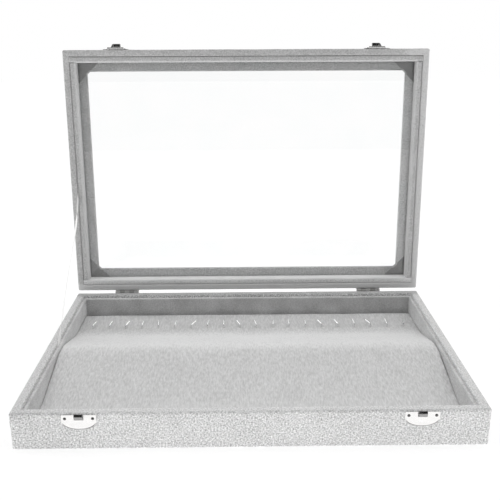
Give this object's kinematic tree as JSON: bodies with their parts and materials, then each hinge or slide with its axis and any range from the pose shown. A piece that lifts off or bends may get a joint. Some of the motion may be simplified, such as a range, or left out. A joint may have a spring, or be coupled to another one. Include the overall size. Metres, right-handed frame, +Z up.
{
  "type": "jewelry display tray",
  "caption": "Velvet-covered necklace display tray: shallow base with a crowned pad of wire hooks, liners, window lid on knuckled hinges, catches and a stay ribbon.",
  "frame": {"origin": "centre of the underside of the base, on the surface it rests on", "axes": "+X along the long side to the viewer's right, +Y from the catches to the hinges, +Z up; lid open at rest"},
  "size_m": [0.35, 0.2703, 0.2765],
  "materials": {
    "velvet": "matte",
    "board": "matte",
    "card": "matte",
    "foam": "matte",
    "sheet": "matte",
    "hook_wire": "polished",
    "nickel": "satin",
    "steel": "polished",
    "glass": "gloss",
    "satin": "satin"
  },
  "bodies": {
    "base": {"base_front_board": "board", "base_back_board": "board", "base_left_board": "board", "base_right_board": "board", "base_floor_board": "board", "base_velvet_cover": "velvet", "underside_sheet": "sheet", "base_liner_front": "velvet", "base_liner_back": "velvet", "base_liner_left": "velvet", "base_liner_right": "velvet", "insert_board": "card", "insert_foam": "foam", "insert_velvet": "velvet", "hook_01": "hook_wire", "hook_02": "hook_wire", "hook_03": "hook_wire", "hook_04": "hook_wire", "hook_05": "hook_wire", "hook_06": "hook_wire", "hook_07": "hook_wire", "hook_08": "hook_wire", "hook_09": "hook_wire", "hook_10": "hook_wire", "hook_11": "hook_wire", "hook_12": "hook_wire", "hook_13": "hook_wire", "hook_14": "hook_wire", "hook_15": "hook_wire", "hook_16": "hook_wire", "hook_17": "hook_wire", "hook_18": "hook_wire", "hook_19": "hook_wire", "hook_20": "hook_wire", "catch_plate_left": "nickel", "catch_plate_right": "nickel", "base_nails": "steel", "hinge_base_leaf_left": "nickel", "hinge_base_leaf_right": "nickel", "hinge_pins": "steel", "stay_ribbon": "satin"},
    "lid": {"lid_front_board": "board", "lid_back_board": "board", "lid_left_board": "board", "lid_right_board": "board", "lid_top_panel": "board", "lid_velvet_cover": "velvet", "lid_liner_front": "velvet", "lid_liner_back": "velvet", "lid_liner_left": "velvet", "lid_liner_right": "velvet", "glass_pane": "glass", "latch_plate_left": "nickel", "latch_plate_right": "nickel", "lid_nails": "steel", "hasp_pins": "steel", "hinge_lid_leaf_left": "nickel", "hinge_lid_leaf_right": "nickel"},
    "hasp_left": {"hasp_left": "nickel"},
    "hasp_right": {"hasp_right": "nickel"}
  },
  "joints": [
    {"name": "lid_hinge", "type": "hinge", "parent": "base", "child": "lid", "pos_m": [0, 0.1216, 0.03015], "axis": [1, 0, 0], "range_deg": [0, 92.6], "deforming": ["stay_ribbon"]},
    {"name": "hasp_left_pivot", "type": "hinge", "parent": "lid", "child": "hasp_left", "pos_m": [-0.1245, 0.13477, 0.2727], "axis": [1, 0, 0], "range_deg": [0, 150]},
    {"name": "hasp_right_pivot", "type": "hinge", "parent": "lid", "child": "hasp_right", "pos_m": [0.1245, 0.13477, 0.2727], "axis": [1, 0, 0], "range_deg": [0, 150]}
  ]
}
